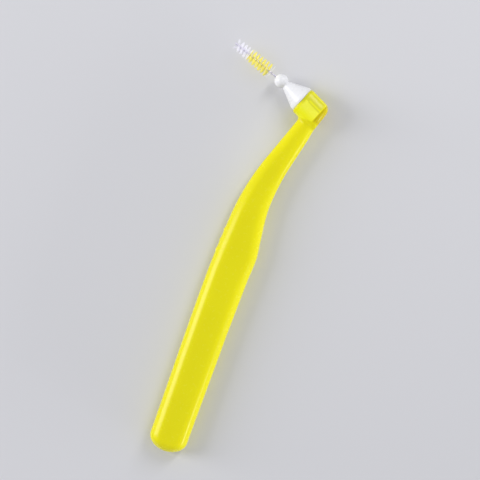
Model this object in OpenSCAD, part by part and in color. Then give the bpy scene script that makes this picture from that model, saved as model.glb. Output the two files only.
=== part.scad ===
// Interdental brush with an angled head.
// A one-piece moulded handle carries a moulded hub in its head; the hub holds a folded and
// twisted wire that grips two runs of filaments, yellow behind and white at the tip.
// The brush lies on the flat back of its grip: X is across the grip, Y runs along it towards
// the head and Z is up through its thickness. The origin is on the flat back.

/* [Grip and neck] */
// Length of the straight grip, from the butt to where the handle starts to bend
grip_length = 76.5; // [66:0.5:95]
// Width of the grip near the butt
butt_width = 12.3; // [10:0.1:14]
// Width of the grip behind the finger ribs
grip_width = 12.8; // [11:0.1:15]
// Width of the waist, where the bend starts
waist_width = 10.4; // [9:0.1:12]
// Width of the neck where the bend ends
bend_width = 8.05; // [7.2:0.05:9]
// Width of the neck where it meets the head
neck_width = 6.3; // [5:0.05:7]
// Thickness of the grip without its crown
grip_thickness = 6.9; // [6:0.1:8]
// Thickness of the neck without its crown
neck_thickness = 4.9; // [4:0.1:6]
// Height of the crown across the front of the grip
front_crown = 0.8; // [0:0.05:1]
// Height of the crown across the front of the neck
neck_crown = 0.3; // [0:0.05:0.6]
// Width of the rounded long edges
edge_round = 3.2; // [2:0.1:4]
// Length of the rounded butt
butt_round = 4.5; // [3:0.1:6]
// Radius of the bend along its middle
bend_radius = 79; // [50:1:120]
// Angle through which the bend turns the neck
bend_angle = 16.8; // [8:0.1:24]
// Length of the straight neck, from the bend to the head
neck_length = 15.1; // [8:0.1:25]
// Radius of the fillet where the neck meets the head
neck_fillet = 1.1; // [0.4:0.1:1.6]
// How far the thumb knee swells beyond the side of the grip
knee_height = 1.12; // [0.2:0.02:1.6]
// How far the finger ribs stand proud
rib_height = 0.28; // [0.1:0.02:0.5]
// Distance from one finger rib to the next
rib_pitch = 3.4; // [2.5:0.1:5]
// Number of finger ribs
rib_count = 3; // [1:1:4]

/* [Head] */
// Angle of the head and its hub above square to the grip
head_tilt = 22.4; // [5:0.2:35]
// Wall of the head above the socket, on the side away from the neck
top_wall = 1.7; // [1.2:0.05:2.4]
// Wall of the head below the socket, where the neck joins
foot_wall = 2.05; // [1.4:0.05:2.6]
// Wall of the head in front of and behind the socket
face_wall = 1.65; // [1.2:0.05:2.4]
// Wall of the head behind the socket's floor
end_wall = 2.35; // [1.5:0.05:3.5]
// Radius of the head's closed end
end_round = 2.4; // [1:0.1:3]
// Radius of the edge round the mouth
mouth_round = 0.5; // [0.2:0.05:0.8]
// Slope of the head's top, which falls towards the closed end
top_slope = 3.5; // [0:0.5:8]
// Lean of the closed end, which follows the neck
end_lean = 3.3; // [0:0.1:6]

/* [Hub] */
// Diameter of the plug in the socket
plug_diameter = 5.4; // [4.4:0.1:6.4]
// Length of the plug
plug_length = 6.4; // [5:0.1:8]
// Height of the snap ring round the plug
snap_height = 0.25; // [0.1:0.05:0.4]
// Gap between the plug and the socket's wall
plug_gap = 0.05; // [0.02:0.01:0.1]
// How far the rim lies inside the head's edge
rim_inset = 0.05; // [0:0.05:0.4]
// Radius of the rim's edge next to the head
rim_foot = 0.25; // [0.1:0.05:0.4]
// Height of the widest part of the rim above the mouth
rim_height = 0.6; // [0.4:0.05:1]
// Radius where the rim turns into the cone
rim_round = 0.6; // [0.3:0.05:1]
// Length from the mouth to the small end of the cone
cone_length = 7.5; // [5:0.1:10]
// Diameter of the small end of the cone, inside the ball
hub_waist = 2.36; // [1.8:0.02:3.2]
// Diameter of the ball at the end of the hub
ball_diameter = 4.42; // [3.6:0.02:6]

/* [Wire] */
// Diameter of the single wire before it is folded and twisted
wire_diameter = 0.27; // [0.2:0.01:0.32]
// Gap between the two legs, which the filaments fill
leg_gap = 0.16; // [0.14:0.01:0.2]
// Length along the brush of one full twist
twist_pitch = 2.5; // [2:0.1:3.5]
// Bare wire between the hub and the filaments
bare_length = 2.85; // [1:0.05:6]
// Bare wire between the filaments and the fold
tip_length = 0.2; // [0.1:0.05:1]
// Length of twisted wire held inside the hub
held_length = 7; // [4:0.1:9]
// Gap between the wire and its bore in the hub
bore_gap = 0.04; // [0.02:0.01:0.1]
// Angle by which the wire leans away from the hub's axis, towards the grip
wire_lean = 2.4; // [0:0.2:5]

/* [Filaments] */
// Diameter of the brush at its base
base_diameter = 4.9; // [3.5:0.05:6]
// Diameter of the brush at its tip
tip_diameter = 3.8; // [2.5:0.05:5]
// Length of the yellow run
yellow_length = 8; // [4:0.1:12]
// Length of the white run at the tip
white_length = 5.5; // [3:0.1:10]
// Distance from one filament to the next along the brush
filament_pitch = 0.068; // [0.06:0.001:0.09]
// Thickness of a filament across the gap between the legs
filament_thickness = 0.08; // [0.05:0.01:0.09]
// Width of a filament along the brush
filament_width = 0.046; // [0.03:0.002:0.05]
// Forward lean of the last filaments at the tip
tip_splay = 22; // [0:1:30]

/* [Hidden] */

handle_yellow = [0.94, 0.90, 0.06];
hub_white = [0.96, 0.96, 0.97];
steel = [0.70, 0.69, 0.76];
filament_yellow = [0.97, 0.95, 0.45];
filament_white = [0.93, 0.93, 0.98];

// Head sizes, which follow the plug
socket_diameter = plug_diameter + 2 * plug_gap;
socket_relief = 0.2;
socket_depth = plug_length + socket_relief;
head_top = socket_diameter / 2 + top_wall;
head_bottom = socket_diameter / 2 + foot_wall;
head_thickness = socket_diameter + 2 * face_wall;
head_length = socket_depth + end_wall;
head_middle = head_thickness / 2;

// The middle line of the handle: straight grip, bend, straight neck
bend_length = bend_radius * bend_angle * PI / 180;
bend_end = grip_length + bend_length;
neck_end = bend_end + neck_length;
neck_overlap = 1.6;
rest_at = grip_length / 2;

// Places along the grip, counted back from the start of the bend
knee_at = grip_length - 9;
rib_middle = grip_length - 6.5;
rib_half = 0.75;
rib_fade = 3;
rib_first = rib_middle - rib_pitch * (rib_count - 1) / 2;
neck_rise_at = grip_length - 1.5;

// Where the neck meets the underside of the head, measured from the mouth.
// The outer side of the neck is eased in by the trim to meet the closed end.
neck_trim = 0.15;
head_foot = head_length + tan(end_lean) * head_bottom - neck_width / 2 + neck_trim;
neck_blend = 5;

// Value of a smooth curve through the stations [place, value]; it is level outside them
function leg_index(list, s, i = 0) =
    i >= len(list) - 2 || s < list[i + 1][0] ? i : leg_index(list, s, i + 1);
function slope(list, i) =
    let (a = list[max(i - 1, 0)], b = list[min(i + 1, len(list) - 1)])
    (b[1] - a[1]) / (b[0] - a[0]);
function curve(list, s) =
    let (
        i = leg_index(list, s),
        a = list[i],
        b = list[i + 1],
        run = b[0] - a[0],
        u = min(max((s - a[0]) / run, 0), 1)
    )
    a[1] * (2 * pow(u, 3) - 3 * u * u + 1) + slope(list, i) * run * (pow(u, 3) - 2 * u * u + u)
    + b[1] * (3 * u * u - 2 * pow(u, 3)) + slope(list, i + 1) * run * (pow(u, 3) - u * u);

// Share from 0 to 1 of a gentle step between two places
function ease(from, to, s) =
    let (u = min(max((s - from) / (to - from), 0), 1)) u * u * (3 - 2 * u);

// Even steps of at most a pitch, without the last place
function steps(from, to, pitch) =
    let (n = max(1, ceil((to - from) / pitch))) [for (i = [0:n - 1]) from + (to - from) * i / n];

// The same ring, with its points the other way round
function reversed(ring) = [for (i = [len(ring) - 1:-1:0]) ring[i]];

// A closed solid skinned over rings of equal point count, with flat ends.
// The rings run counterclockwise as seen from the last ring.
module skin(rings) {
    n = len(rings[0]);
    last = len(rings) - 1;
    sides = [for (r = [0:last - 1], i = [0:n - 1])
        let (a = r * n + i, b = r * n + (i + 1) % n)
        each [[a, b + n, b], [a, a + n, b + n]]];
    ends = [[for (i = [0:n - 1]) i], [for (i = [n - 1:-1:0]) last * n + i]];
    polyhedron([for (ring = rings) each ring], concat(ends, sides), convexity = 6);
}

// ---- Handle ----

half_widths = [
    [butt_round, butt_width / 2], [grip_length - 18, grip_width / 2],
    [grip_length + 6, waist_width / 2], [bend_end, bend_width / 2], [neck_end, neck_width / 2]
];
knee_swell = [
    [knee_at - 25.5, 0], [knee_at - 7.5, 0.43], [knee_at, 1], [knee_at + 5.5, 0.71],
    [knee_at + 17.5, 0]
];

// Heading of the middle line and its place, for a length s from the butt
function turned(s) = min(max((s - grip_length) / bend_length, 0), 1) * bend_angle;
function middle(s) =
    let (
        turn = turned(s),
        past = max(s - bend_end, 0)
    )
    [bend_radius * (1 - cos(turn)) + past * sin(turn),
     min(s, grip_length) + bend_radius * sin(turn) + past * cos(turn)];

// Rounding of the butt: the share of the full size at a length s from the end
butt_flat = 0.98;
function cap(s, round) = s >= round ? 1 : sqrt(1 - pow(butt_flat * (1 - s / round), 2));

// Height of a finger rib and of the fillet under the head
function rib(s) = max([for (i = [0:rib_count - 1])
    let (off = abs(s - rib_first - i * rib_pitch))
    off < rib_half ? rib_height * pow(cos(90 * off / rib_half), 2) : 0]);
function fillet(gap) = gap >= neck_fillet ? 0
    : neck_fillet - sqrt(pow(neck_fillet, 2) - pow(neck_fillet - max(gap, 0), 2));

// Share of the crown at a point [across, height], where the height is 1 along the front
function bulge(p, left, right) =
    let (u = (2 * p[0] - right + left) / (right + left))
    max(p[1], 0) * max(1 - u * u, 0);

// One section of the handle: two rounded sides, a flat back and a crowned front.
// Where it is narrow, a rounded side takes at most this share of the half width.
side_share = 0.86;
side_steps = 10;
front_steps = 6;
function section(s) =
    let (
        flare = fillet(neck_end - s),
        left = curve(half_widths, s) * cap(s, butt_round) + flare,
        swell = knee_height * curve(knee_swell, s),
        trim = neck_trim * ease(neck_end - neck_blend, neck_end, s),
        right = (curve(half_widths, s) + swell - trim) * cap(s, butt_round),
        rise = ease(neck_rise_at, bend_end, s),
        mid = (1 - rise) * grip_thickness / 2 + rise * head_middle,
        full = (1 - rise) * grip_thickness + rise * neck_thickness,
        half = full / 2 * cap(s, edge_round) + flare / 2,
        crown = ((1 - rise) * front_crown + rise * neck_crown) * cap(s, butt_round),
        round = min(edge_round, side_share * min(left, right)),
        flat = left + right - 2 * round,
        flank = concat(
            [for (i = [0:side_steps]) let (a = -90 + 180 * i / side_steps)
                [right - round + round * cos(a), sin(a)]],
            [for (i = [1:front_steps - 1]) [right - round - i / front_steps * flat, 1]],
            [for (i = [0:side_steps]) let (a = 90 + 180 * i / side_steps)
                [round - left + round * cos(a) - rib(s) * pow(max(-cos(a), 0), rib_fade), sin(a)]]
        ),
        across = [for (p = flank) [p[0], mid + half * p[1] + crown * bulge(p, left, right)]],
        // The last sections turn to lie along the underside of the head
        turn = turned(s) + (head_tilt - turned(s)) * ease(neck_end - neck_blend, neck_end, s)
    )
    [for (p = reversed(across)) [middle(s)[0] + p[0] * cos(turn), middle(s)[1] - p[0] * sin(turn), p[1]]];

stem_places = concat(
    [for (i = [0:6]) butt_round * (1 - cos(15 * i))],
    steps(butt_round + 5, knee_at - 22, 7),
    steps(knee_at - 22, rib_first - rib_half, 3),
    [for (i = [0:rib_count - 1], k = [-1:0.5:1]) rib_first + i * rib_pitch + k * rib_half],
    steps(rib_first + (rib_count - 1) * rib_pitch + 2 * rib_half, bend_end, 2.2),
    steps(bend_end, neck_end - neck_fillet, 3.6),
    [for (k = [1, 0.7, 0.42, 0.2, 0.06, 0]) neck_end - k * neck_fillet],
    [neck_end + neck_overlap]
);

// One section of the head, x back from the mouth: a soft-cornered square
head_points = 32;
corner_power = 2 / 3.2;
function soft(c) = sign(c) * pow(abs(c), corner_power);
function head_section(x, inset) =
    let (
        top = head_top - tan(top_slope) * x - inset,
        bottom = -head_bottom + (x < mouth_round ? inset : 0),
        side = head_thickness / 2 - inset
    )
    [for (i = [0:head_points - 1])
        let (
            a = 360 * i / head_points,
            y = (top + bottom) / 2 + (top - bottom) / 2 * soft(cos(a)),
            z = side * soft(sin(a))
        )
        [x - tan(end_lean) * y * x / head_length, y, z]];

// Places [x, inset] of the head's sections: rounded mouth, straight body, rounded end
head_places = concat(
    [for (a = [0:30:90]) [mouth_round * (1 - cos(a)), mouth_round * (1 - sin(a))]],
    [[(head_length - end_round) / 2, 0]],
    [for (a = [0:15:90]) [head_length - end_round * (1 - sin(a)), end_round * (1 - cos(a))]]
);

// Puts the children at the mouth of the head, with X running back into the head
module at_head() {
    foot = middle(neck_end);
    translate([foot[0], foot[1], head_middle])
        rotate([0, 0, -head_tilt])
        translate([-head_foot, head_bottom, 0])
        children();
}

// Puts the children on the axis of the hub, with Z running out of the mouth
module on_hub() {
    at_head() rotate([0, -90, 0]) children();
}

// Puts the children on the axis of the wire, which crosses the hub's axis in the ball
module on_wire() {
    on_hub() translate([0, 0, ball_at]) rotate([wire_lean, 0, 0])
        translate([0, 0, -ball_at]) children();
}

// Lays the whole brush down with the origin on the flat back of the grip
module laid_down() {
    translate([0, -rest_at, 0]) children();
}

snap_at = plug_length * 0.6;
snap_half = 0.6;
module socket() {
    translate([0, 0, -socket_depth])
        cylinder(d = socket_diameter, h = socket_depth + 1, $fn = 64);
    translate([0, 0, -snap_at - snap_half - plug_gap])
        cylinder(d = socket_diameter + 2 * snap_height, h = 2 * (snap_half + plug_gap), $fn = 64);
}

module handle() {
    color(handle_yellow)
        difference() {
            union() {
                skin([for (s = stem_places) section(s)]);
                at_head() skin([for (p = head_places) head_section(p[0], p[1])]);
            }
            on_hub() socket();
        }
}

// ---- Hub ----

rim_diameter = min(2 * head_top, head_thickness) - 2 * rim_inset;
rim_middle = rim_diameter / 2 - rim_round;
ball_sink = 0.3;
ball_at = cone_length + sqrt(pow(ball_diameter / 2, 2) - pow(hub_waist / 2, 2)) - ball_sink;
ball_end = ball_at + ball_diameter / 2;
wire_radius = leg_gap / 2 + wire_diameter;
bore_radius = wire_radius + bore_gap;
wire_start = ball_end - held_length;

// Half outline of the hub without its ball, as [radius, height above the mouth]
plug_chamfer = 0.4;
plug_radius = plug_diameter / 2;
cone_lean = atan((rim_diameter - hub_waist) / 2 / (cone_length - rim_height));
hub_outline = concat(
    [[0, -plug_length], [plug_radius - plug_chamfer, -plug_length],
     [plug_radius, -plug_length + plug_chamfer], [plug_radius, -snap_at - snap_half],
     [plug_radius + snap_height, -snap_at], [plug_radius + snap_height, -snap_at + snap_half / 2],
     [plug_radius, -snap_at + snap_half], [plug_radius, 0]],
    [for (a = [-90:30:0])
        [rim_diameter / 2 - rim_foot + rim_foot * cos(a), rim_foot + rim_foot * sin(a)]],
    [for (k = [0:3]) let (a = cone_lean * k / 3)
        [rim_middle + rim_round * cos(a), rim_height + rim_round * sin(a)]],
    [[hub_waist / 2, cone_length], [hub_waist / 2, ball_at], [0, ball_at]]
);

module brush_hub() {
    color(hub_white)
        difference() {
            on_hub() {
                rotate_extrude($fn = 96) polygon(hub_outline);
                translate([0, 0, ball_at]) sphere(d = ball_diameter, $fn = 64);
            }
            on_wire() translate([0, 0, wire_start])
                cylinder(r = bore_radius, h = held_length + 1, $fn = 32);
        }
}

// ---- Twisted wire ----

leg_offset = (leg_gap + wire_diameter) / 2;
blade_phase = 131;
function blade_angle(t) = blade_phase + 360 * t / twist_pitch;
yellow_start = ball_end + bare_length;
white_start = yellow_start + yellow_length;
white_end = white_start + white_length;
fold_at = white_end + tip_length;

// One ring of a leg: the leg lies on the side given by turn, where the filaments don't pass
leg_sides = 6;
leg_climb = atan(2 * PI * leg_offset / twist_pitch);
function leg_ring(t, turn) =
    let (
        a = blade_angle(t) + turn,
        out = [cos(a), sin(a), 0],
        round = [-sin(a), cos(a), 0],
        r = wire_diameter / 2
    )
    [for (i = [0:leg_sides - 1])
        let (b = 360 * (i + 0.5) / leg_sides)
        [0, 0, t] + out * (leg_offset + r * cos(b)) + round * r / cos(leg_climb) * sin(b)];

// One ring of the fold that joins the legs at the tip
function fold_ring(b) =
    let (
        a = blade_angle(fold_at) + 90,
        out = [cos(a) * cos(b), sin(a) * cos(b), sin(b)],
        round = [-sin(a), cos(a), 0],
        r = wire_diameter / 2
    )
    [for (i = [0:leg_sides - 1])
        let (c = 360 * (i + 0.5) / leg_sides)
        [0, 0, fold_at] + out * (leg_offset + r * cos(c)) + round * r * sin(c)];

// The second leg's rings run back down the wire, so their points go the other way round
wire_places = concat(steps(wire_start, fold_at, twist_pitch / 8), [fold_at]);

module core_wire() {
    count = len(wire_places);
    up = [for (t = wire_places) leg_ring(t, 90)];
    over = [for (b = [36:36:144]) fold_ring(b)];
    down = [for (i = [count - 1:-1:0]) reversed(leg_ring(wire_places[i], 270))];
    color(steel) on_wire() skin(concat(up, over, down));
}

// ---- Filaments ----

// The filaments pass between the legs, so their middles lie side by side in a twisted ribbon.
// Each filament then stands out on both sides of the wire as a four-sided strand.
ribbon_half = wire_diameter / 2 / cos(leg_climb);

// Small repeatable differences between neighbours, from -1 to 1
function wobble(i, seed) = sin(i * 137.5 + seed) * cos(i * 53.1 + 2 * seed);
function brush_radius(t) =
    let (u = (t - yellow_start) / (white_end - yellow_start))
    (base_diameter + (tip_diameter - base_diameter) * u) / 2;
splay_length = 1.2;
function lean(t) = tip_splay * pow(max(0, 1 - (white_end - t) / splay_length), 2);

function ribbon_corner(t, side, face) =
    let (a = blade_angle(t))
    [side * ribbon_half * cos(a) - face * filament_thickness / 2 * sin(a),
     side * ribbon_half * sin(a) + face * filament_thickness / 2 * cos(a), t];
function strand(t, i, side) =
    let (
        a = blade_angle(t),
        reach = brush_radius(t) * (1 + 0.03 * wobble(i, 40 * side)) - ribbon_half,
        tilt = lean(t) + 1.5 * wobble(i, 70 * side)
    )
    reach * [side * cos(a), side * sin(a), tan(tilt)];

// One run of filaments: 12 points a filament, four for each edge of the ribbon and its tips
module filament_run(from, to) {
    count = floor((to - from) / filament_pitch);
    pitch = (to - from) / count;
    points = [for (i = [0:count - 1])
        let (
            t = from + (i + 0.5) * pitch,
            ring = [for (k = [-1, 1], c = [[1, 1], [1, -1], [-1, -1], [-1, 1]])
                ribbon_corner(t + k * filament_width / 2, c[0], c[1])],
            right = strand(t, i, 1),
            left = strand(t, i, -1)
        )
        each concat(ring,
            [ring[0] + right, ring[1] + right, ring[4] + right, ring[5] + right],
            [ring[2] + left, ring[3] + left, ring[6] + left, ring[7] + left])];
    // Corners of the filament: 0-3 lower ring, 4-7 upper ring, 8-11 right tip, 12-15 left tip
    strand_faces = [
        [0, 3, 7, 4], [2, 1, 5, 6],
        [0, 4, 10, 8], [4, 5, 11, 10], [5, 1, 9, 11], [1, 0, 8, 9], [8, 10, 11, 9],
        [2, 6, 14, 12], [6, 7, 15, 14], [7, 3, 13, 15], [3, 2, 12, 13], [12, 14, 15, 13]
    ];
    join_faces = [[4, 7, 19, 16], [7, 6, 18, 19], [6, 5, 17, 18], [5, 4, 16, 17]];
    halves = function (f, base) [[f[2], f[1], f[0]] + base, [f[3], f[2], f[0]] + base];
    faces = concat(
        [for (i = [0:count - 1], f = strand_faces) each halves(f, [1, 1, 1] * 16 * i)],
        [for (i = [0:count - 2], f = join_faces) each halves(f, [1, 1, 1] * 16 * i)],
        halves([0, 1, 2, 3], [0, 0, 0]),
        halves([7, 6, 5, 4], [1, 1, 1] * 16 * (count - 1))
    );
    polyhedron(points, faces, convexity = 10);
}

module yellow_filaments() {
    color(filament_yellow) on_wire() filament_run(yellow_start, white_start);
}

module white_filaments() {
    color(filament_white) on_wire() filament_run(white_start, white_end);
}

laid_down() {
    handle();
    brush_hub();
    core_wire();
    yellow_filaments();
    white_filaments();
}
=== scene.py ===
# %% [markdown]
# # An interdental brush with an angled head
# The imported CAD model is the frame: it fixes the sizes and the places. This script dresses it.
# Each piece is made in millimetres, where the CAD puts it, and becomes a plain mesh in metres.

import math

import bmesh
import bpy
import numpy as np
from mathutils import Matrix, Vector


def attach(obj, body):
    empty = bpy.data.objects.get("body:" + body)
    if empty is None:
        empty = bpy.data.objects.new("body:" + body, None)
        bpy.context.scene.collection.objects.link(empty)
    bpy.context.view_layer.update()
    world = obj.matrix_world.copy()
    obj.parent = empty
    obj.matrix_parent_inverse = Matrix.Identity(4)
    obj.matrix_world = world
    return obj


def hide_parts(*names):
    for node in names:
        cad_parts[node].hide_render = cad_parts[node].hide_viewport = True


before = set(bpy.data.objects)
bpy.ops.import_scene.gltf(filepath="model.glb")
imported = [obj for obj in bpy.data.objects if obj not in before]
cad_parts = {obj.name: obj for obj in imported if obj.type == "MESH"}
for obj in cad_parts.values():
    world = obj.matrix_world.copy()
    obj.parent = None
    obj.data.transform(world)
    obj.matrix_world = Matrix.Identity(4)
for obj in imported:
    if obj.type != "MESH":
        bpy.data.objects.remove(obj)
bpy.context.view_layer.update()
scene = bpy.context.scene
MM = 0.001
print("nodes:", sorted(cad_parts))

# %% [markdown]
# ## Camera
# The photograph looks square at the front of the handle, whose grip leans to the right.
# The brush lies on its flat back here, so the camera looks straight down. It is turned about
# its own axis to give the lean. A long lens keeps the outline free of perspective, as a
# product photograph does.

# %% Camera
picture_turn = math.radians(19.7)
picture_middle = Vector((0.13, 33.47, 4.0)) * MM
picture_width = 153.6 * MM
camera_data = bpy.data.cameras.new("camera")
camera_data.lens = 135
camera_data.sensor_width = 36
camera = bpy.data.objects.new("camera", camera_data)
scene.collection.objects.link(camera)
camera_distance = picture_width * camera_data.lens / camera_data.sensor_width
camera.location = picture_middle + Vector((0, 0, camera_distance))
camera.rotation_euler = (0, 0, picture_turn)
scene.camera = camera
scene.view_settings.view_transform = "Standard"
print(f"camera {camera_distance:.3f} m above the brush")

# %% [markdown]
# ## Node helpers
# Materials and Geometry Nodes are both trees of nodes. One helper adds a node and links or sets
# its inputs in one line, so that a tree reads like the rule that it states.

# %% Node helpers
def add_node(tree, kind, sockets=None, **settings):
    """A node of the tree, with its settings, and its inputs linked or set."""
    made = tree.nodes.new(kind)
    for key, value in settings.items():
        setattr(made, key, value)
    for key, value in (sockets or {}).items():
        if isinstance(value, bpy.types.NodeSocket):
            tree.links.new(value, made.inputs[key])
        else:
            made.inputs[key].default_value = value
    return made


def material(name, roughness=0.5, specular=0.5):
    """A new node material, with its tree and its Principled shader."""
    made = bpy.data.materials.new(name)
    made.use_nodes = True
    shader = made.node_tree.nodes["Principled BSDF"]
    shader.inputs["Roughness"].default_value = roughness
    shader.inputs["Specular IOR Level"].default_value = specular
    return made, made.node_tree, shader


print("node helpers ready")

# %% [markdown]
# ## Floor and light
# A pale floor shows the outline and keeps the shadow. A plain white world fills in, and is
# a little brighter for the camera and for reflections than as a light.
# Glossy plastic shows the lamps themselves, so each panel stands where the photograph has a
# highlight. A mirror that leans half as far as the lamp shows it to a camera overhead, and a
# rounded edge holds every lean: a lamp at 23 degrees shows where the edge leans 33.5 degrees.
# The left panel draws the strip up the grip, the head panel the strip along the head, and the
# neck panel, far off, the bright rim that only the turned neck shows. The right panel gives
# light to the right flank, but isn't seen in the gloss, because the photograph has no strip there.
# Big panels stand far off, or a view from the side would show the floor burnt out beneath them.

# %% Floor
floor_material, _, floor_shader = material("pale_floor", roughness=0.9, specular=0.1)
floor_shader.inputs["Base Color"].default_value = (0.70, 0.70, 0.73, 1)
floor_half, floor_drop = 5.0, 0.02 * MM
floor_mesh = bpy.data.meshes.new("floor")
floor_mesh.from_pydata(
    [(x, y, 0) for x, y in ((-1, -1), (1, -1), (1, 1), (-1, 1))], [], [(0, 1, 2, 3)]
)
floor_mesh.transform(Matrix.Diagonal((floor_half, floor_half, 1, 1)))
floor_mesh.materials.append(floor_material)
floor = bpy.data.objects.new("floor", floor_mesh)
floor.location.z = -floor_drop
scene.collection.objects.link(floor)
print("floor made")

# %% World
fill_strength, shown_strength = 0.495, 0.6
world = bpy.data.worlds.new("studio")
world.use_nodes = True
scene.world = world
sky = world.node_tree
rays = add_node(sky, "ShaderNodeLightPath").outputs
mirrored = add_node(
    sky,
    "ShaderNodeMath",
    {0: rays["Is Glossy Ray"], 1: rays["Is Transmission Ray"]},
    operation="MAXIMUM",
)
shown = add_node(
    sky, "ShaderNodeMath", {0: rays["Is Camera Ray"], 1: mirrored.outputs[0]}, operation="MAXIMUM"
)
strength = add_node(
    sky,
    "ShaderNodeMapRange",
    {"Value": shown.outputs[0], "To Min": fill_strength, "To Max": shown_strength},
)
background = sky.nodes["Background"]
background.inputs["Color"].default_value = (0.96, 0.97, 1.0, 1)
sky.links.new(strength.outputs["Result"], background.inputs["Strength"])
print("world made")

# %% Lamps
def panel(name, side, height, away, tall, wide, watts, along=0.03):
    """A soft panel beside the brush, in metres, at angles round the grip and up from the floor."""
    lamp = bpy.data.lights.new(name, "AREA")
    lamp.shape = "RECTANGLE"
    lamp.size, lamp.size_y = wide, tall
    lamp.energy = watts
    made = bpy.data.objects.new(name, lamp)
    a, e = math.radians(side), math.radians(height)
    aim = Vector((math.sin(a) * math.cos(e), math.cos(a) * math.cos(e), math.sin(e)))
    made.location = Vector((0, along, 0)) + aim * away
    made.rotation_euler = aim.to_track_quat("Z", "Y").to_euler()
    scene.collection.objects.link(made)
    return made


panel("left_panel", side=-90, height=23, away=1.0, tall=0.84, wide=0.4, watts=6.6, along=-0.08)
right_panel = panel("right_panel", side=90, height=5, away=1.5, tall=0.18, wide=1.8, watts=12.5)
right_panel.visible_glossy = False
panel("head_panel", side=22, height=43, away=0.6, tall=0.34, wide=0.09, watts=0.95)
panel("neck_panel", side=103, height=4, away=1.5, tall=0.26, wide=0.18, watts=2.5, along=0.05)

# %% [markdown]
# ## Mesh helpers
# A mesh built from rings is the workhorse for moulded shapes: each ring is one section, and
# neighbouring rings are joined by quads. Modifiers are applied at once, so that what is kept is
# a plain mesh whose object sits at the origin.

# %% Rings and turned shapes
def outward(mesh):
    """The same mesh with its doubles merged and its faces pointing out."""
    work = bmesh.new()
    work.from_mesh(mesh)
    bmesh.ops.remove_doubles(work, verts=work.verts, dist=1e-5)
    bmesh.ops.recalc_face_normals(work, faces=work.faces)
    work.to_mesh(mesh)
    work.free()
    return mesh


def ring_mesh(name, rings):
    """A closed mesh skinned over rings of equal point count, with flat ends."""
    count = len(rings[0])
    points = [tuple(p) for ring in rings for p in ring]
    faces = [tuple(range(count))[::-1]]
    for r in range(len(rings) - 1):
        for i in range(count):
            j = (i + 1) % count
            low, high = r * count, (r + 1) * count
            faces.append((low + i, low + j, high + j, high + i))
    faces.append(tuple(range((len(rings) - 1) * count, len(rings) * count)))
    mesh = bpy.data.meshes.new(name)
    mesh.from_pydata(points, [], faces)
    mesh.update()
    return outward(mesh)


def turned_profile(name, profile, steps=96):
    """A closed mesh turned round Z from an outline of [radius, height] that ends on Z."""
    angles = [2 * math.pi * i / steps for i in range(steps)]
    rings = [
        [(max(r, 1e-4) * math.cos(a), max(r, 1e-4) * math.sin(a), z) for a in angles]
        for r, z in profile
    ]
    return ring_mesh(name, rings)


# %% From modifiers to a finished piece
def placed(name, mesh):
    """An object at the origin that shows this mesh."""
    made = bpy.data.objects.new(name, mesh)
    scene.collection.objects.link(made)
    return made


def settled(obj):
    """Applies every modifier: the result is a plain mesh."""
    evaluated = obj.evaluated_get(bpy.context.evaluated_depsgraph_get())
    mesh = bpy.data.meshes.new_from_object(evaluated)
    mesh.name = obj.name
    obj.modifiers.clear()
    obj.data = mesh
    return obj


def cut(obj, tool_mesh):
    """Takes the tool's volume out of the object."""
    tool = placed("tool", tool_mesh)
    modifier = obj.modifiers.new("cut", "BOOLEAN")
    modifier.operation, modifier.solver, modifier.object = "DIFFERENCE", "EXACT", tool
    settled(obj)
    bpy.data.objects.remove(tool)


def finished(obj, finish, slot, *stands_for, sharp=35):
    """Turns millimetres to metres, gives the finish and hands the piece to the frame."""
    obj.data.transform(Matrix.Scale(MM, 4))
    obj.data.materials.clear()
    obj.data.materials.append(finish)
    obj.data.shade_smooth()
    obj.data.set_sharp_from_angle(angle=math.radians(sharp))
    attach(obj, "root")
    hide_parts(*stands_for)
    triangles = sum(len(p.vertices) - 2 for p in obj.data.polygons)
    print(f"{obj.name}: {triangles} triangles")


# %% [markdown]
# ## The handle: one moulding
# The real handle is a single injection moulding: a grip with a flat back, a crowned front and
# rounded edges, a thumb knee, three small ribs for the finger, a curved neck and a head with a
# round socket. Its shape follows a rule, one section that changes along a middle line, so it is
# built from that rule, with the CAD model's values.

# %% The middle line
grip_length = 76.5
bend_radius, bend_angle = 79.0, 16.8
neck_length, neck_width = 15.1, 6.3
socket_radius, socket_depth = 2.75, 6.6
top_wall, foot_wall, face_wall, end_wall = 1.7, 2.05, 1.65, 2.35
head_tilt = 22.4
head_top, head_bottom = socket_radius + top_wall, socket_radius + foot_wall
head_thickness = 2 * (socket_radius + face_wall)
head_length = socket_depth + end_wall
head_middle = head_thickness / 2
bend_length = bend_radius * math.radians(bend_angle)
bend_end = grip_length + bend_length
neck_end = bend_end + neck_length


def heading(s):
    """Angle of the middle line at a length s from the butt, in degrees."""
    return min(max((s - grip_length) / bend_length, 0), 1) * bend_angle


def middle(s):
    """Place of the middle line at a length s from the butt."""
    turn = math.radians(heading(s))
    past = max(s - bend_end, 0)
    return (
        bend_radius * (1 - math.cos(turn)) + past * math.sin(turn),
        min(s, grip_length) + bend_radius * math.sin(turn) + past * math.cos(turn),
    )


print(f"the neck meets the head {neck_end:.1f} mm from the butt")

# %% Curves along the handle
def eased(start, end, s):
    """Share from 0 to 1 of a gentle step between two places."""
    u = min(max((s - start) / (end - start), 0), 1)
    return u * u * (3 - 2 * u)


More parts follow.
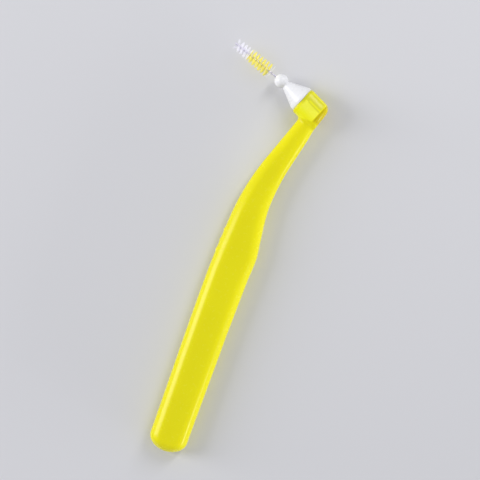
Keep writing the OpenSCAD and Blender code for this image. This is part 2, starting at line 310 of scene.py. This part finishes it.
def through(stations, s):
    """A smooth curve through stations of [place, value], level outside them."""
    last = len(stations) - 1
    i = max([k for k in range(last) if s >= stations[k][0]], default=0)

    def slope(k):
        """The curve's slope at a station."""
        a, b = stations[max(k - 1, 0)], stations[min(k + 1, last)]
        return (b[1] - a[1]) / (b[0] - a[0])

    a, b = stations[i], stations[i + 1]
    run = b[0] - a[0]
    u = min(max((s - a[0]) / run, 0), 1)
    return (
        a[1] * (2 * u**3 - 3 * u * u + 1)
        + slope(i) * run * (u**3 - 2 * u * u + u)
        + b[1] * (3 * u * u - 2 * u**3)
        + slope(i + 1) * run * (u**3 - u * u)
    )


def rounded_end(s, length, fullest=0.998):
    """Share of the full size at a length s from the rounded butt, which stops short of a point."""
    return 1 if s >= length else math.sqrt(max(1 - (fullest * (1 - s / length)) ** 2, 0))


print(f"halfway through a gentle step: {eased(0, 2, 1)}")

# %% Sizes of the stem
# A station is a length from the butt and the value there
grip_thickness, neck_thickness = 6.9, 4.9
front_crown, neck_crown = 0.8, 0.3
butt_round, edge_round, side_share = 4.5, 3.2, 0.86
half_widths = [
    (butt_round, 6.15),
    (grip_length - 18, 6.4),
    (grip_length + 6, 5.2),
    (bend_end, 4.025),
    (neck_end, neck_width / 2),
]
knee_at, knee_height = grip_length - 9, 1.12
knee_swell = [
    (knee_at - 25.5, 0),
    (knee_at - 7.5, 0.43),
    (knee_at, 1),
    (knee_at + 5.5, 0.71),
    (knee_at + 17.5, 0),
]
rib_pitch, rib_half, rib_height, rib_fade = 3.4, 0.75, 0.28, 3
rib_middle = grip_length - 6.5
rib_places = [rib_middle + k * rib_pitch for k in (-1, 0, 1)]
neck_rise_at = grip_length - 1.5
neck_fillet, neck_blend, neck_trim, neck_overlap = 1.1, 5, 0.15, 1.6
print("finger ribs at", rib_places)

# %% Sections of the stem
def rib(s):
    """How far a finger rib stands proud at a length s."""
    off = min(abs(s - at) for at in rib_places) / rib_half
    return rib_height * math.cos(math.pi / 2 * min(off, 1)) ** 2


def section_outline(left, right, rib_there, side_steps=24, flat_steps=10):
    """Points [across, lift] of a section: the lift is -1 on the back and 1 on the front."""
    corner = min(edge_round, side_share * min(left, right))
    flat = left + right - 2 * corner
    right_side = [math.radians(-90 + 180 * i / side_steps) for i in range(side_steps + 1)]
    left_side = [a + math.pi for a in right_side]
    proud = [rib_there * max(-math.cos(a), 0) ** rib_fade for a in left_side]
    shares = [i / flat_steps for i in range(1, flat_steps)]
    return (
        [(right - corner + corner * math.cos(a), math.sin(a)) for a in right_side]
        + [(right - corner - u * flat, 1) for u in shares]
        + [
            (corner - left + corner * math.cos(a) - out, math.sin(a))
            for a, out in zip(left_side, proud)
        ]
        + [(corner - left + u * flat, -1) for u in shares]
    )


def stem_section(s):
    """One section of the grip or neck: two rounded sides, a flat back, a crowned front."""
    gap = min(max(neck_end - s, 0), neck_fillet)
    flare = neck_fillet - math.sqrt(neck_fillet**2 - (neck_fillet - gap) ** 2)
    blend = eased(neck_end - neck_blend, neck_end, s)
    cap = rounded_end(s, butt_round)
    swell = knee_height * through(knee_swell, s) - neck_trim * blend
    left = through(half_widths, s) * cap + flare
    right = (through(half_widths, s) + swell) * cap
    rise = eased(neck_rise_at, bend_end, s)
    mid = (1 - rise) * grip_thickness / 2 + rise * head_middle
    full = (1 - rise) * grip_thickness + rise * neck_thickness
    half = full / 2 * rounded_end(s, edge_round) + flare / 2
    crown = ((1 - rise) * front_crown + rise * neck_crown) * cap
    turn = math.radians(heading(s) + (head_tilt - heading(s)) * blend)
    x, y = middle(s)
    ring = []
    for p, lift in section_outline(left, right, rib(s)):
        u = (2 * p - right + left) / (right + left)
        z = mid + half * lift + crown * max(lift, 0) * max(1 - u * u, 0)
        ring.append((x + p * math.cos(turn), y - p * math.sin(turn), z))
    return ring


def evenly(start, end, pitch):
    """Places a pitch apart, from the start to just before the end."""
    return {round(float(s), 4) for s in np.arange(start, end, pitch)}


# Close together round the butt, over the ribs and at the neck's fillet, and wide apart elsewhere
ribs_from, ribs_to, fillet_from = grip_length - 12, grip_length - 1, neck_end - 1.5
stem_places = sorted(
    {round(butt_round * (1 - math.cos(math.radians(a))), 4) for a in range(0, 90, 4)}
    | evenly(butt_round, ribs_from, 1.0)
    | evenly(ribs_from, ribs_to, 0.15)
    | evenly(ribs_to, fillet_from, 0.8)
    | evenly(fillet_from, neck_end, 0.1)
    | {round(neck_end, 4), round(neck_end + neck_overlap, 4)}
)
print(f"{len(stem_places)} sections along the grip and the neck")

# %% [markdown]
# The head is a soft-cornered square tube, closed at its far end. A superellipse gives the
# soft square: a power of its cosine and sine pushes a circle out into the corners.

# %% Sections of the head
mouth_round, end_round = 0.5, 2.4
top_slope, end_lean = math.radians(3.5), math.radians(3.3)
corner_power = 2 / 3.2


def soft(c):
    """A cosine or sine of a circle, pushed out into a soft corner."""
    return math.copysign(abs(c) ** corner_power, c)


def head_section(x, inset, points=96):
    """One section of the head, x back from the mouth."""
    top = head_top - math.tan(top_slope) * x - inset
    bottom = -head_bottom + (inset if x < mouth_round else 0)
    side = head_thickness / 2 - inset
    ring = []
    for i in range(points):
        a = 2 * math.pi * i / points
        y = (top + bottom) / 2 + (top - bottom) / 2 * soft(math.cos(a))
        z = side * soft(math.sin(a))
        ring.append((x - math.tan(end_lean) * y * x / head_length, y, z))
    return ring


mouth = [
    (mouth_round * (1 - math.cos(a)), mouth_round * (1 - math.sin(a)))
    for a in np.radians(np.arange(0, 91, 15))
]
closed_end = [
    (head_length - end_round * (1 - math.sin(a)), end_round * (1 - math.cos(a)))
    for a in np.radians(np.arange(0, 91, 6))
]
head_places = mouth + [(x, 0) for x in np.arange(1.0, 6.5, 0.5)] + closed_end
print(f"{len(head_places)} sections along the head")

# %% Places of the head and the hub
rest_at = grip_length / 2
# From the mouth back to where the neck's middle line meets the head's foot
head_foot = head_length + math.tan(end_lean) * head_bottom - neck_width / 2 + neck_trim
foot = middle(neck_end)
laid_down = Matrix.Translation((0, -rest_at, 0))
at_head = (
    laid_down
    @ Matrix.Translation((foot[0], foot[1], head_middle))
    @ Matrix.Rotation(math.radians(-head_tilt), 4, "Z")
    @ Matrix.Translation((-head_foot, head_bottom, 0))
)
on_hub = at_head @ Matrix.Rotation(math.radians(-90), 4, "Y")
print("mouth of the head at", [round(v, 2) for v in at_head.translation])

# %% [markdown]
# ## Bright yellow plastic
# The handle is glossy polypropylene, a little see-through. A real moulding is never one flat
# colour: its tint drifts, and its gloss and surface waver finely. Noise on Object coordinates
# gives all three. A Mapping node set to Texture measures from the head's mouth, in millimetres.

# %% Shared looks of a moulding
def wavering(tree, shader, scale, low, high, lift):
    """Fine noise on Object coordinates: the roughness wavers, and the surface lifts by mm."""
    place = add_node(tree, "ShaderNodeTexCoord").outputs["Object"]
    noise = add_node(
        tree, "ShaderNodeTexNoise", {"Vector": place, "Scale": scale / MM, "Detail": 3.0}
    ).outputs["Fac"]
    spread = add_node(
        tree,
        "ShaderNodeMapRange",
        {"Value": noise, "From Min": 0.3, "From Max": 0.7, "To Min": low, "To Max": high},
    )
    tree.links.new(spread.outputs["Result"], shader.inputs["Roughness"])
    bump = add_node(
        tree, "ShaderNodeBump", {"Height": noise, "Distance": lift * MM, "Strength": 1.0}
    )
    tree.links.new(bump.outputs["Normal"], shader.inputs["Normal"])
    return place


def tinted(tree, share, low, high):
    """A colour between two, by a share from 0 to 1 that another node gives."""
    made = add_node(tree, "ShaderNodeMix", {0: share, 6: low, 7: high}, data_type="RGBA")
    return made.outputs[2]


def drifting(tree, place, scale, low, high):
    """A colour that drifts slowly between two over the surface."""
    noise = add_node(
        tree, "ShaderNodeTexNoise", {"Vector": place, "Scale": scale / MM, "Detail": 1.0}
    )
    return tinted(tree, noise.outputs["Fac"], low, high)


print("moulding looks ready")

# %% Finish of the handle
yellow_plastic, yellow, yellow_shader = material("bright_yellow_plastic", specular=0.26)
place = wavering(yellow, yellow_shader, scale=0.9, low=0.21, high=0.29, lift=0.004)
body_colour = drifting(
    yellow, place, 0.07, (0.80, 0.735, 0.002, 1), (0.84, 0.785, 0.003, 1)
)
from_mouth = add_node(
    yellow,
    "ShaderNodeMapping",
    {
        "Vector": place,
        "Location": at_head.translation * MM,
        "Rotation": (0, 0, math.radians(-head_tilt)),
        "Scale": (MM, MM, MM),
    },
    vector_type="TEXTURE",
)
back, up, _ = add_node(
    yellow, "ShaderNodeSeparateXYZ", {"Vector": from_mouth.outputs[0]}
).outputs


def ramped(value, start, end, low=0.0, high=1.0):
    """A smooth step between two places in the head, in millimetres."""
    return add_node(
        yellow,
        "ShaderNodeMapRange",
        {"Value": value, "From Min": start, "From Max": end, "To Min": low, "To Max": high},
        interpolation_type="SMOOTHSTEP",
    ).outputs["Result"]


def both(*shares):
    """The product of some shares: where all of them hold."""
    product = shares[0]
    for other in shares[1:]:
        product = add_node(
            yellow, "ShaderNodeMath", {0: product, 1: other}, operation="MULTIPLY"
        ).outputs[0]
    return product


def slanted(slope):
    """The height above the axis less a slope back from the mouth."""
    return add_node(
        yellow, "ShaderNodeMath", {0: back, 1: -slope, 2: up}, operation="MULTIPLY_ADD"
    ).outputs[0]


def near(value, at, half_width):
    """A soft line: 1 where the value is reached, 0 beyond the half width."""
    off = add_node(yellow, "ShaderNodeMath", {0: value, 1: at}, operation="SUBTRACT")
    away = add_node(yellow, "ShaderNodeMath", {0: off.outputs[0]}, operation="ABSOLUTE")
    return ramped(away.outputs[0], 0, half_width, 1, 0)


print("places in the head are measured from its mouth, in millimetres")

# %% [markdown]
# The head's wall is thin over the white plug, so the yellow is paler there. Behind the plug the
# plastic is solid and its colour deepens, and painted shade darkens the end further where it turns
# from the light. The upper half and the mouth carry painted shade too. Each layer below is a share
# of the surface and its colour, and is laid over the one before. The edges are soft steps between
# two places.

# %% What shows through the head, and painted shade on it
plug_shown_to = (7.0, 6.7)
over_plug = both(
    ramped(back, 0.3, 1.4),
    ramped(back, *plug_shown_to),
    ramped(slanted(0.34), -6.1, -5.5),
    ramped(up, 3.7, 3.2),
)
beside_plug = both(ramped(back, 1.7, 2.3), ramped(back, *plug_shown_to))
layers = [
    # Over the whole plug
    (over_plug, (0.94, 0.92, 0.010, 1)),
    # Where its white shows most
    (both(over_plug, ramped(up, -3.6, -1.2)), (0.98, 0.96, 0.065, 1)),
    # Painted shade: the upper half, which turns from the light, is duller
    (both(over_plug, ramped(slanted(-0.08), 0.6, 0.85)), (0.74, 0.72, 0.028, 1)),
    # The bright streak, and the faint line below it
    (both(beside_plug, near(slanted(-0.05), 1.1, 0.45)), (0.94, 0.91, 0.018, 1)),
    (both(beside_plug, near(slanted(-0.08), 0.62, 0.3), 0.5), (0.60, 0.58, 0.0, 1)),
    # Painted shade at the mouth, where the hub's rim meets the head
    (both(ramped(back, 1.3, 0.5), ramped(back, 0, 0.1), ramped(up, -2, 0)), (0.66, 0.64, 0.02, 1)),
]
behind_plug = both(ramped(up, -3.6, -2.4), ramped(up, 3.9, 3.2))
layers += [
    # The solid end and the line where it begins: their own deeper yellow, darkened further by
    # painted shade where the end turns from the light
    (both(ramped(back, 6.9, 7.3), behind_plug), (0.64, 0.53, 0.0, 1)),
    (both(near(back, 7.4, 0.4), behind_plug, 0.6), (0.46, 0.40, 0.0, 1)),
]
shaded = body_colour
for layer_share, layer_colour in layers:
    shaded = tinted(yellow, layer_share, shaded, layer_colour)
yellow.links.new(shaded, yellow_shader.inputs["Base Color"])
yellow_shader.inputs["Subsurface Weight"].default_value = 0.5
yellow_shader.inputs["Subsurface Radius"].default_value = (1.0, 0.9, 0.25)
yellow_shader.inputs["Subsurface Scale"].default_value = 2.0 * MM
print(f"{len(yellow.nodes)} nodes in the yellow plastic")

# %% [markdown]
# The stem and the head are two closed meshes that overlap. A voxel remesh fuses them and a
# smoothing rounds the inner corners, as a mould does. The socket is cut last, to stay crisp.

# %% The handle
voxel = 0.25
stem = ring_mesh("stem", [stem_section(s) for s in stem_places])
stem.transform(laid_down)
head = ring_mesh("head", [head_section(x, inset) for x, inset in head_places])
head.transform(at_head)
joined = bmesh.new()
joined.from_mesh(stem)
joined.from_mesh(head)
fused = bpy.data.meshes.new("handle_moulding")
joined.to_mesh(fused)
joined.free()
handle = placed("handle_moulding", fused)
remesh = handle.modifiers.new("fuse", "REMESH")
remesh.mode, remesh.voxel_size = "VOXEL", voxel
smooth = handle.modifiers.new("mould_rounding", "SMOOTH")
smooth.factor, smooth.iterations = 0.5, 6
settled(handle)
print(f"fused: {len(handle.data.polygons)} faces")

# %% The socket
plug_radius, plug_length = 2.7, 6.4
snap_at, snap_half, snap_height = plug_length * 0.6, 0.6, 0.25
plug_gap, past_mouth = 0.05, 1
groove_half = snap_half + plug_gap
socket = turned_profile(
    "socket",
    [
        (0, -socket_depth),
        (socket_radius, -socket_depth),
        (socket_radius, -snap_at - groove_half),
        (socket_radius + snap_height, -snap_at - groove_half),
        (socket_radius + snap_height, -snap_at + groove_half),
        (socket_radius, -snap_at + groove_half),
        (socket_radius, past_mouth),
        (0, past_mouth),
    ],
)
socket.transform(on_hub)
cut(handle, socket)
finished(handle, yellow_plastic, "handle_plastic", "handle")

# %% [markdown]
# ## The hub: a turned moulding
# The white hub is round about its own axis, so its outline is turned, as on a lathe. The arcs
# are worked out from their tangents: a rounded rim, the cone, a small fillet and the ball.

# %% Sizes of the hub
rim_inset, rim_foot, rim_height, rim_round = 0.05, 0.25, 0.6, 0.6
rim_radius = min(2 * head_top, head_thickness) / 2 - rim_inset
cone_length, waist_radius, ball_radius = 7.5, 1.18, 2.21
ball_sink, plug_chamfer = 0.3, 0.4
ball_at = cone_length + math.sqrt(ball_radius**2 - waist_radius**2) - ball_sink
ball_end = ball_at + ball_radius
cone_lean = math.atan((rim_radius - waist_radius) / (cone_length - rim_height))
waist_fillet = 0.45
print(f"cone half angle {math.degrees(cone_lean):.1f} degrees, ball at {ball_at:.2f} mm")

# %% Outline of the hub
def arc(centre, radius, start, end, steps):
    """Points of an arc in the [radius, height] plane, by its angles in radians."""
    return [
        (centre[0] + radius * math.cos(a), centre[1] + radius * math.sin(a))
        for a in np.linspace(start, end, steps)
    ]


rim_middle = (rim_radius - rim_round, rim_height)
ball_centre = Vector((0, ball_at))
# The fillet's centre lies off the cone by its radius, and off the ball's centre by both radii
off_cone = Vector((math.cos(cone_lean), math.sin(cone_lean)))
up_cone = Vector((-math.sin(cone_lean), math.cos(cone_lean)))
line_start = Vector(rim_middle) + off_cone * (rim_round + waist_fillet)
to_ball = line_start - ball_centre
half_b = up_cone.dot(to_ball)
reach = ball_radius + waist_fillet
run = -half_b - math.sqrt(half_b**2 - to_ball.length_squared + reach**2)
fillet_centre = line_start + up_cone * run
to_fillet = fillet_centre - ball_centre
touch = math.atan2(to_fillet.y, to_fillet.x)
hub_outline = (
    [(0, -plug_length), (plug_radius - plug_chamfer, -plug_length)]
    + [(plug_radius, -plug_length + plug_chamfer)]
    + [(plug_radius, -snap_at - snap_half), (plug_radius + snap_height, -snap_at)]
    + [(plug_radius + snap_height, -snap_at + snap_half / 2)]
    + [(plug_radius, -snap_at + snap_half), (plug_radius, 0)]
    + arc((rim_radius - rim_foot, rim_foot), rim_foot, -math.pi / 2, 0, 6)
    + arc(rim_middle, rim_round, 0, cone_lean, 6)
    + arc(fillet_centre, waist_fillet, cone_lean + math.pi, touch + math.pi, 8)
    + arc(ball_centre, ball_radius, touch, math.pi / 2, 40)
)
print(f"{len(hub_outline)} points in the hub's outline")

# %% Finish of the hub
white_plastic, white, white_shader = material("white_plastic", specular=0.45)
place = wavering(white, white_shader, scale=1.1, low=0.24, high=0.34, lift=0.0015)
white.links.new(
    drifting(white, place, 0.2, (0.87, 0.87, 0.90, 1), (0.885, 0.885, 0.905, 1)),
    white_shader.inputs["Base Color"],
)
white_shader.inputs["Subsurface Weight"].default_value = 0.15
white_shader.inputs["Subsurface Radius"].default_value = (1.0, 1.0, 1.0)
white_shader.inputs["Subsurface Scale"].default_value = 0.8 * MM
print("white plastic made")

# %% The hub
wire_diameter, leg_gap, twist_pitch = 0.27, 0.16, 2.5
wire_lean, held_length, bore_gap = 2.4, 7.0, 0.04
wire_radius = leg_gap / 2 + wire_diameter
bore_radius = wire_radius + bore_gap
bore_end = ball_end + 1
wire_start = ball_end - held_length
on_wire = (
    on_hub
    @ Matrix.Translation((0, 0, ball_at))
    @ Matrix.Rotation(math.radians(wire_lean), 4, "X")
    @ Matrix.Translation((0, 0, -ball_at))
)
hub = placed("hub_moulding", turned_profile("hub_moulding", hub_outline, steps=128))
hub.data.transform(on_hub)
bore = turned_profile(
    "bore",
    [(0, wire_start), (bore_radius, wire_start), (bore_radius, bore_end), (0, bore_end)],
    steps=32,
)
bore.transform(on_wire)
cut(hub, bore)
finished(hub, white_plastic, "hub_plastic", "brush_hub")

# %% [markdown]
# ## Geometry Nodes
# What repeats or follows a rule is grown by Geometry Nodes. A tree takes named sizes, and ends
# in Realize Instances and Set Material, because the export keeps real meshes alone.

# %% A writer of Geometry Nodes
class Rule:
    """A Geometry Nodes tree under construction."""

    def __init__(self, name):
        self.tree = bpy.data.node_groups.new(name, "GeometryNodeTree")
        self.tree.interface.new_socket(
            "Geometry", in_out="OUTPUT", socket_type="NodeSocketGeometry"
        )
        self.entry = self.tree.nodes.new("NodeGroupInput")

    def given(self, name, kind="Float"):
        """A named input of the tree."""
        self.tree.interface.new_socket(name, in_out="INPUT", socket_type="NodeSocket" + kind)
        return self.entry.outputs[name]

    def node(self, kind, sockets=None, **settings):
        """A node of this tree."""
        return add_node(self.tree, kind, sockets, **settings)

    def math(self, operation, *values):
        """The result of one Math node."""
        made = self.node("ShaderNodeMath", dict(enumerate(values)), operation=operation)
        return made.outputs[0]

    def vector(self, x, y, z):
        """A vector from three numbers."""
        return self.node("ShaderNodeCombineXYZ", {0: x, 1: y, 2: z}).outputs[0]

    def chance(self, low, high, seed):
        """A different number for each point, the same on each run."""
        return self.node("FunctionNodeRandomValue", {2: low, 3: high, 8: seed}).outputs[1]

    def close(self, geometry, finish):
        """Ends the tree in Realize Instances and Set Material."""
        real = self.node("GeometryNodeRealizeInstances", {"Geometry": geometry})
        made = self.node(
            "GeometryNodeSetMaterial", {"Geometry": real.outputs[0], "Material": finish}
        )
        end = self.tree.nodes.new("NodeGroupOutput")
        self.tree.links.new(made.outputs[0], end.inputs[0])


def grown(name, rule, **sizes):
    """Runs a tree with these sizes and keeps the result as a plain mesh."""
    obj = placed(name, bpy.data.meshes.new(name))
    modifier = obj.modifiers.new(name, "NODES")
    modifier.node_group = rule.tree
    for item in rule.tree.interface.items_tree:
        if item.in_out == "INPUT":
            modifier[item.identifier] = sizes[item.name.replace(" ", "_").lower()]
    return settled(obj)


print("node writer ready")

# %% [markdown]
# ## The twisted wire
# One fine steel wire is folded in half and twisted, which clamps the filaments between its
# legs. The curve's place follows from its length: up one leg, round the fold, down the other.

# %% Finish of the wire
drawn_steel, steel, steel_shader = material("drawn_steel")
place = wavering(steel, steel_shader, scale=6.0, low=0.26, high=0.42, lift=0.003)
steel.links.new(
    drifting(steel, place, 1.5, (0.66, 0.63, 0.75, 1), (0.76, 0.73, 0.85, 1)),
    steel_shader.inputs["Base Color"],
)
steel_shader.inputs["Metallic"].default_value = 1.0
print("steel made")

# %% Up one leg, round the fold, down the other
wire_steps, wire_sides = 1000, 12
wire_rule = Rule("twisted_wire")
start = wire_rule.given("Start")
fold_at = wire_rule.given("Fold At")
offset = wire_rule.given("Leg Offset")
pitch = wire_rule.given("Pitch")
phase = wire_rule.given("Phase")
thick = wire_rule.given("Radius")
line = wire_rule.node("GeometryNodeCurvePrimitiveLine", {"End": (0, 0, 1)})
fine = wire_rule.node("GeometryNodeResampleCurve", {"Curve": line.outputs[0], "Count": wire_steps})
share = wire_rule.node("GeometryNodeSplineParameter").outputs["Factor"]
leg = wire_rule.math("SUBTRACT", fold_at, start)
fold_run = wire_rule.math("MULTIPLY", offset, math.pi)
gone = wire_rule.math("MULTIPLY", share, wire_rule.math("MULTIPLY_ADD", leg, 2.0, fold_run))
past_leg = wire_rule.math("SUBTRACT", gone, leg)
round_fold = wire_rule.node(
    "ShaderNodeClamp", {0: wire_rule.math("DIVIDE", past_leg, offset), 1: 0.0, 2: math.pi}
).outputs[0]
down = wire_rule.math("MAXIMUM", wire_rule.math("SUBTRACT", past_leg, fold_run), 0.0)
up_leg = wire_rule.math("MINIMUM", gone, leg)
height = wire_rule.math("ADD", start, wire_rule.math("SUBTRACT", up_leg, down))
print("the wire's length is split into a leg, the fold and a leg")

# %% The place of the wire, and its tube
turns = wire_rule.math("DIVIDE", height, pitch)
blade = wire_rule.math("MULTIPLY_ADD", turns, 2 * math.pi, phase)
angle = wire_rule.math("ADD", blade, math.pi / 2)
side = wire_rule.math("MULTIPLY", wire_rule.math("COSINE", round_fold), offset)
lift = wire_rule.math("MULTIPLY", wire_rule.math("SINE", round_fold), offset)
wire_place = wire_rule.vector(
    wire_rule.math("MULTIPLY", side, wire_rule.math("COSINE", angle)),
    wire_rule.math("MULTIPLY", side, wire_rule.math("SINE", angle)),
    wire_rule.math("ADD", height, lift),
)
wound = wire_rule.node(
    "GeometryNodeSetPosition", {"Geometry": fine.outputs[0], "Position": wire_place}
)
circle = wire_rule.node(
    "GeometryNodeCurvePrimitiveCircle", {"Resolution": wire_sides, "Radius": thick}
)
tube = wire_rule.node(
    "GeometryNodeCurveToMesh",
    {"Curve": wound.outputs[0], "Profile Curve": circle.outputs[0], "Fill Caps": True},
)
wire_rule.close(tube.outputs[0], drawn_steel)
print(f"{len(wire_rule.tree.nodes)} nodes in the wire's tree")

# %% The wire
blade_phase = math.radians(131)
bare_length, yellow_length, white_length, tip_length = 2.85, 8.0, 5.5, 0.2
yellow_start = ball_end + bare_length
white_start = yellow_start + yellow_length
white_end = white_start + white_length
wire = grown(
    "twisted_wire",
    wire_rule,
    start=wire_start,
    fold_at=white_end + tip_length,
    leg_offset=(leg_gap + wire_diameter) / 2,
    pitch=twist_pitch,
    phase=blade_phase,
    radius=wire_diameter / 2,
)
outward(wire.data)
wire.data.transform(on_wire)
finished(wire, drawn_steel, "steel_wire", "core_wire", sharp=60)

# %% [markdown]
# ## The filaments
# Each filament passes between the legs and stands out on both sides. The twist turns each one
# a little further than the last, so that the row becomes a double spiral. One strand is
# modelled once, and the tree sets it on each place with its own length, turn and lean.

# %% Finishes of the filaments
def nylon(name, colour, darkest=0.86):
    """Fine nylon: each strand has its own shade, from the random number stored on it."""
    made, tree, shader = material(name, specular=0.4)
    wavering(tree, shader, scale=20.0, low=0.3, high=0.45, lift=0.001)
    shade = add_node(tree, "ShaderNodeAttribute", attribute_name="shade")
    darker = [c * darkest for c in colour[:3]] + [1]
    tree.links.new(tinted(tree, shade.outputs["Fac"], darker, colour), shader.inputs["Base Color"])
    shader.inputs["Sheen Weight"].default_value = 0.4
    shader.inputs["Sheen Roughness"].default_value = 0.5
    return made


yellow_nylon = nylon("yellow_nylon", (0.95, 0.88, 0.20, 1))
white_nylon = nylon("white_nylon", (0.90, 0.89, 0.95, 1))
clear_nylon = nylon("clear_nylon", (0.90, 0.90, 0.93, 1))
print("nylon made")

# %% One strand
strand_steps, strand_sides = 5, 5
bowed_by, thinned_by = 0.1, 0.15
strand_rule = Rule("filament_run")
run_start = strand_rule.given("Start")
run_length = strand_rule.given("Length")
strands = strand_rule.given("Strands", "Int")
pitch = strand_rule.given("Pitch")
phase = strand_rule.given("Phase")
reach_start = strand_rule.given("Reach Start")
reach_end = strand_rule.given("Reach End")
thick = strand_rule.given("Radius")
splay = strand_rule.given("Splay")
splay_length = strand_rule.given("Splay Length")
spread = strand_rule.given("Spread")
seed = strand_rule.given("Seed", "Int")
finish = strand_rule.given("Finish", "Material")
line = strand_rule.node("GeometryNodeCurvePrimitiveLine", {"End": (1, 0, 0)})
fine = strand_rule.node(
    "GeometryNodeResampleCurve", {"Curve": line.outputs[0], "Count": strand_steps}
)
share = strand_rule.node("GeometryNodeSplineParameter").outputs["Factor"]
bow = strand_rule.math("MULTIPLY", strand_rule.math("MULTIPLY", share, share), bowed_by)
bowed = strand_rule.node(
    "GeometryNodeSetPosition",
    {"Geometry": fine.outputs[0], "Offset": strand_rule.vector(0.0, bow, 0.0)},
)
slim = strand_rule.node(
    "GeometryNodeSetCurveRadius",
    {0: bowed.outputs[0], 2: strand_rule.math("MULTIPLY_ADD", share, -thinned_by, 1.0)},
)
circle = strand_rule.node(
    "GeometryNodeCurvePrimitiveCircle", {"Resolution": strand_sides, "Radius": thick}
)
strand = strand_rule.node(
    "GeometryNodeCurveToMesh",
    {"Curve": slim.outputs[0], "Profile Curve": circle.outputs[0], "Fill Caps": True},
)
print("one strand modelled")

# %% Where each strand stands
lean_play, least_reach = 0.05, 0.94


def varied(low, high, step):
    """A random number for each strand, from a seed of its own."""
    return strand_rule.chance(low, high, strand_rule.math("ADD", seed, step))


row = strand_rule.node("GeometryNodePoints", {"Count": strands})
number = strand_rule.node("GeometryNodeInputIndex").outputs[0]
along = strand_rule.math("DIVIDE", strand_rule.math("ADD", number, varied(0, 1, 0)), strands)
at = strand_rule.math("MULTIPLY_ADD", along, run_length, run_start)
left_over = strand_rule.math("MULTIPLY", strand_rule.math("SUBTRACT", 1.0, along), run_length)
near_end = strand_rule.math(
    "MAXIMUM",
    strand_rule.math("SUBTRACT", 1.0, strand_rule.math("DIVIDE", left_over, splay_length)),
    0.0,
)
lean = strand_rule.math(
    "MULTIPLY_ADD",
    strand_rule.math("MULTIPLY", near_end, near_end),
    splay,
    varied(-lean_play, lean_play, 1),
)
blade = strand_rule.math(
    "MULTIPLY_ADD", strand_rule.math("DIVIDE", at, pitch), 2 * math.pi, phase
)
other_side = strand_rule.math("MODULO", number, 2.0)
blade = strand_rule.math("MULTIPLY_ADD", other_side, math.pi, blade)
blade = strand_rule.math("MULTIPLY_ADD", varied(-1, 1, 2), spread, blade)
reach_change = strand_rule.math("SUBTRACT", reach_end, reach_start)
strand_reach = strand_rule.math(
    "MULTIPLY",
    strand_rule.math("MULTIPLY_ADD", reach_change, along, reach_start),
    varied(least_reach, 1.0, 3),
)
print("each strand has its place, turn, lean and reach")

# %% Strands set on their places
set_out = strand_rule.node(
    "GeometryNodeSetPosition",
    {"Geometry": row.outputs[0], "Position": strand_rule.vector(0.0, 0.0, at)},
)
turned = strand_rule.vector(
    varied(0, 2 * math.pi, 4), strand_rule.math("MULTIPLY", lean, -1.0), blade
)
sown = strand_rule.node(
    "GeometryNodeInstanceOnPoints",
    {
        "Points": set_out.outputs[0],
        "Instance": strand.outputs[0],
        "Rotation": turned,
        "Scale": strand_rule.vector(strand_reach, 1.0, 1.0),
    },
)
shaded = strand_rule.node(
    "GeometryNodeStoreNamedAttribute",
    {"Geometry": sown.outputs[0], "Name": "shade", "Value": varied(0, 1, 5)},
    domain="INSTANCE",
)
strand_rule.close(shaded.outputs[0], finish)
print(f"{len(strand_rule.tree.nodes)} nodes in the filaments' tree")

# %% [markdown]
# The yellow run is behind and the white run is at the tip, where the last filaments lean
# forward. A few clear strands stand loose just behind the yellow run.

# %% The runs of filaments
base_reach, tip_reach = 4.9 / 2, 3.8 / 2
# The strands at the tip lean forward, so their run ends early to stay inside the CAD's box
tip_room = 0.38
clear_start, clear_end = yellow_start - 0.85, yellow_start - 0.45


def reach_at(t):
    """Half width of the brush at a place along the wire."""
    share = (t - yellow_start) / (white_end - yellow_start)
    return base_reach + (tip_reach - base_reach) * share


def filaments(name, t0, t1, strands, seed, finish, slot, node, radius=0.045, splay=0.0):
    """One run of filaments between two places along the wire."""
    obj = grown(
        name,
        strand_rule,
        start=t0,
        length=t1 - t0,
        strands=strands,
        pitch=twist_pitch,
        phase=blade_phase,
        reach_start=reach_at(t0),
        reach_end=reach_at(t1),
        radius=radius,
        splay=splay,
        splay_length=1.2,
        spread=0.12,
        seed=seed,
        finish=finish,
    )
    obj.data.transform(on_wire)
    finished(obj, finish, slot, node, sharp=80)
    # Fine nylon lets light through: solid strands would shade each other far too much
    obj.visible_shadow = False


filaments(
    "yellow_filament_run", yellow_start, white_start, strands=960, seed=11,
    finish=yellow_nylon, slot="yellow_nylon", node="yellow_filaments",
)
filaments(
    "white_filament_run", white_start, white_end - tip_room, strands=650, seed=23,
    finish=white_nylon, slot="white_nylon", node="white_filaments", splay=math.radians(21),
)
filaments(
    "clear_strands", clear_start, clear_end, strands=7, seed=5,
    finish=clear_nylon, slot="white_nylon", node="yellow_filaments", radius=0.035,
)

# %% [markdown]
# ## Sizes
# The dressed model stays inside the CAD model's box.

# %% End
print("all pieces dressed")
